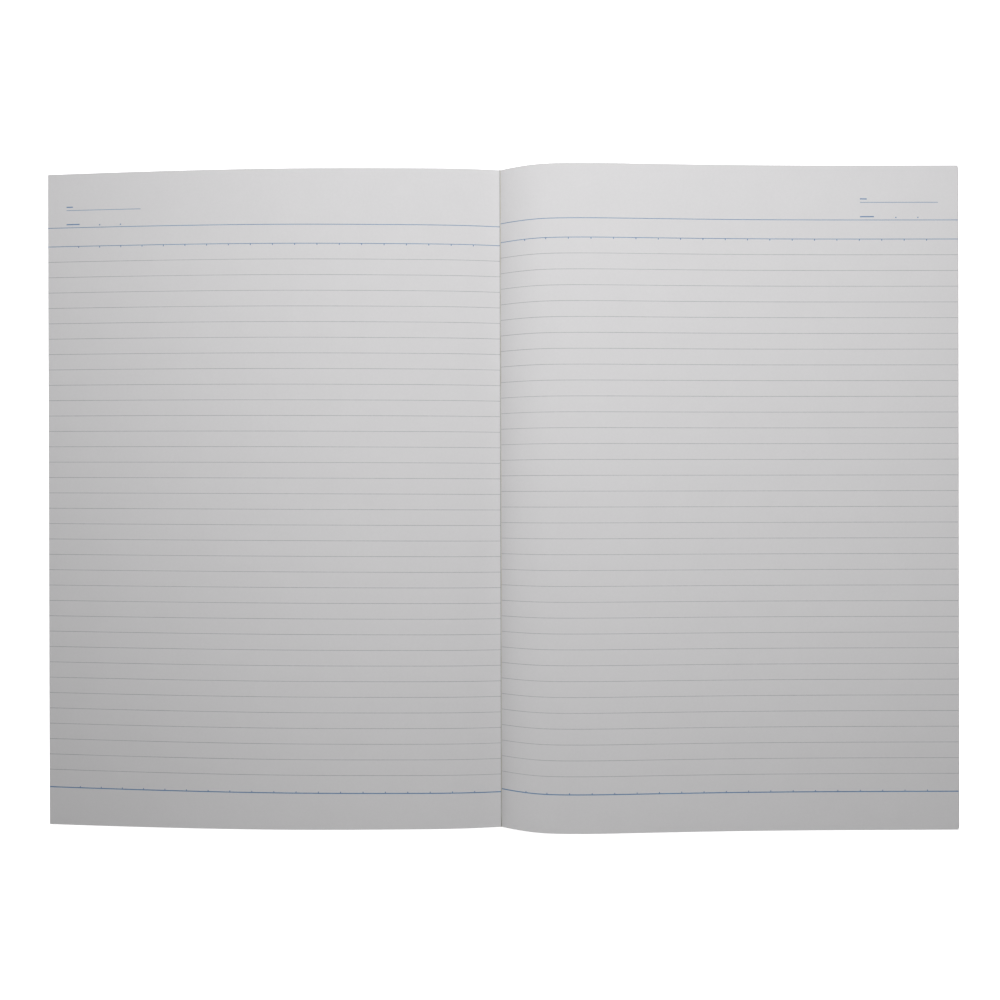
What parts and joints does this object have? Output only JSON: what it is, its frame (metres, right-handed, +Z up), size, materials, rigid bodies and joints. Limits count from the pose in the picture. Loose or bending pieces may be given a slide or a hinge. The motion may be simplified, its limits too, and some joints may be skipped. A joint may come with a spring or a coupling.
{
  "type": "open composition notebook",
  "caption": "Soft-cover ruled notebook lying open near its first quarter, pages arched up from the gutter; the front half turns over to close it.",
  "frame": {"origin": "on the table, in the middle of the fold between the two halves, half-way up the page; bottom centre of the open notebook's box", "axes": "+X across the spread towards the right page, +Y up the page towards its head, +Z up from the table"},
  "size_m": [0.4124, 0.296, 0.0167],
  "materials": {
    "cover_card": "uncoated card, muted blue-grey outside, off-white inside",
    "spine_cloth": "woven binding cloth, near black",
    "spine_glue": "dried white bookbinding adhesive",
    "ruled_paper": "uncoated writing paper with grey and blue ruling"
  },
  "bodies": {
    "back_half": {"back_cover": "cover_card", "spine_tape_back": "spine_cloth", "spine_glue_back": "spine_glue", "right_pages": "ruled_paper"},
    "front_half": {"front_cover": "cover_card", "spine_tape_front": "spine_cloth", "spine_glue_front": "spine_glue", "left_pages": "ruled_paper"}
  },
  "joints": [
    {"name": "front_half_fold", "type": "hinge", "parent": "back_half", "child": "front_half", "pos_m": [0, 0, 0.0044], "axis": [0, 1, 0], "range_deg": [0, 180], "deforming": ["left_pages", "right_pages"]}
  ]
}
